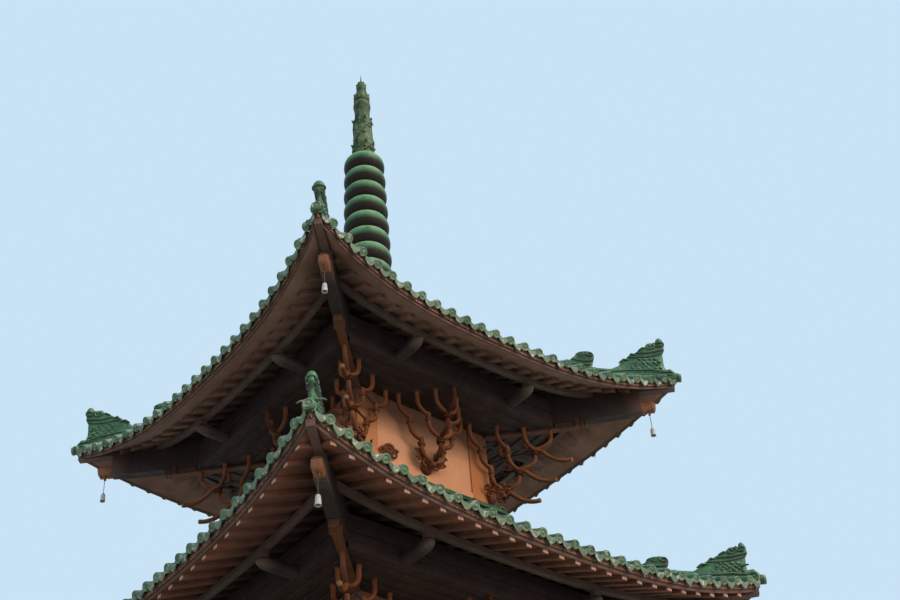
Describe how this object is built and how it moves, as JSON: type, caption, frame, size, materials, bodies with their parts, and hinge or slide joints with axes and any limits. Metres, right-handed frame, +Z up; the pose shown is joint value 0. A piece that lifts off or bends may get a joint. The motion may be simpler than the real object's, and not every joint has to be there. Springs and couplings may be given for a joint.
{
  "type": "pagoda",
  "caption": "Square tower with stacked upturned green tiled roofs on curved bracket arms, corner wind bells and a ringed spire.",
  "frame": {"origin": "centre of the base on the ground, under the spire", "axes": "+Z up along the spire, -Y towards the entrance side, +X to the right of someone who faces the door"},
  "size_m": [7.84, 7.84, 19.58],
  "materials": {
    "stone": "dressed stone",
    "plaster": "painted plaster, matt",
    "orange_paint": "painted plaster",
    "bracket_paint": "weathered paint",
    "eave_paint": "weathered paint",
    "surround": "painted",
    "glaze": "weathered glaze",
    "spire": "glaze",
    "bell_metal": "dull"
  },
  "bodies": {
    "tower": {"plinth": "stone", "wall_1": "plaster", "pilasters_1": "orange_paint", "brackets_1": "bracket_paint", "eave_deck_1": "eave_paint", "roof_1": "glaze", "ridges_1": "glaze", "wall_2": "plaster", "pilasters_2": "orange_paint", "brackets_2": "bracket_paint", "eave_deck_2": "eave_paint", "roof_2": "glaze", "ridges_2": "glaze", "wall_3": "plaster", "pilasters_3": "orange_paint", "brackets_3": "bracket_paint", "eave_deck_3": "eave_paint", "roof_3": "glaze", "ridges_3": "glaze", "door_surround": "surround", "spire_base": "spire", "spire_rings": "spire", "spire_shaft": "spire", "spire_crown": "spire"},
    "bell_1_front_right": {"bell_1_front_right": "bell_metal"},
    "bell_1_back_right": {"bell_1_back_right": "bell_metal"},
    "bell_1_back_left": {"bell_1_back_left": "bell_metal"},
    "bell_1_front_left": {"bell_1_front_left": "bell_metal"},
    "bell_2_front_right": {"bell_2_front_right": "bell_metal"},
    "bell_2_back_right": {"bell_2_back_right": "bell_metal"},
    "bell_2_back_left": {"bell_2_back_left": "bell_metal"},
    "bell_2_front_left": {"bell_2_front_left": "bell_metal"},
    "bell_3_front_right": {"bell_3_front_right": "bell_metal"},
    "bell_3_back_right": {"bell_3_back_right": "bell_metal"},
    "bell_3_back_left": {"bell_3_back_left": "bell_metal"},
    "bell_3_front_left": {"bell_3_front_left": "bell_metal"}
  },
  "joints": [
    {"name": "bell_1_front_right_swing", "type": "hinge", "parent": "tower", "child": "bell_1_front_right", "pos_m": [3.523, -3.523, 4.942], "axis": [0.7071, 0.7071, 0], "range_deg": [-20, 20]},
    {"name": "bell_1_back_right_swing", "type": "hinge", "parent": "tower", "child": "bell_1_back_right", "pos_m": [3.523, 3.523, 4.942], "axis": [-0.7071, 0.7071, 0], "range_deg": [-20, 20]},
    {"name": "bell_1_back_left_swing", "type": "hinge", "parent": "tower", "child": "bell_1_back_left", "pos_m": [-3.523, 3.523, 4.942], "axis": [-0.7071, -0.7071, 0], "range_deg": [-20, 20]},
    {"name": "bell_1_front_left_swing", "type": "hinge", "parent": "tower", "child": "bell_1_front_left", "pos_m": [-3.523, -3.523, 4.942], "axis": [0.7071, -0.7071, 0], "range_deg": [-20, 20]},
    {"name": "bell_2_front_right_swing", "type": "hinge", "parent": "tower", "child": "bell_2_front_right", "pos_m": [3.16, -3.16, 8.242], "axis": [0.7071, 0.7071, 0], "range_deg": [-20, 20]},
    {"name": "bell_2_back_right_swing", "type": "hinge", "parent": "tower", "child": "bell_2_back_right", "pos_m": [3.16, 3.16, 8.242], "axis": [-0.7071, 0.7071, 0], "range_deg": [-20, 20]},
    {"name": "bell_2_back_left_swing", "type": "hinge", "parent": "tower", "child": "bell_2_back_left", "pos_m": [-3.16, 3.16, 8.242], "axis": [-0.7071, -0.7071, 0], "range_deg": [-20, 20]},
    {"name": "bell_2_front_left_swing", "type": "hinge", "parent": "tower", "child": "bell_2_front_left", "pos_m": [-3.16, -3.16, 8.242], "axis": [0.7071, -0.7071, 0], "range_deg": [-20, 20]},
    {"name": "bell_3_front_right_swing", "type": "hinge", "parent": "tower", "child": "bell_3_front_right", "pos_m": [2.79, -2.79, 11.542], "axis": [0.7071, 0.7071, 0], "range_deg": [-20, 20]},
    {"name": "bell_3_back_right_swing", "type": "hinge", "parent": "tower", "child": "bell_3_back_right", "pos_m": [2.79, 2.79, 11.542], "axis": [-0.7071, 0.7071, 0], "range_deg": [-20, 20]},
    {"name": "bell_3_back_left_swing", "type": "hinge", "parent": "tower", "child": "bell_3_back_left", "pos_m": [-2.79, 2.79, 11.542], "axis": [-0.7071, -0.7071, 0], "range_deg": [-20, 20]},
    {"name": "bell_3_front_left_swing", "type": "hinge", "parent": "tower", "child": "bell_3_front_left", "pos_m": [-2.79, -2.79, 11.542], "axis": [0.7071, -0.7071, 0], "range_deg": [-20, 20]}
  ]
}
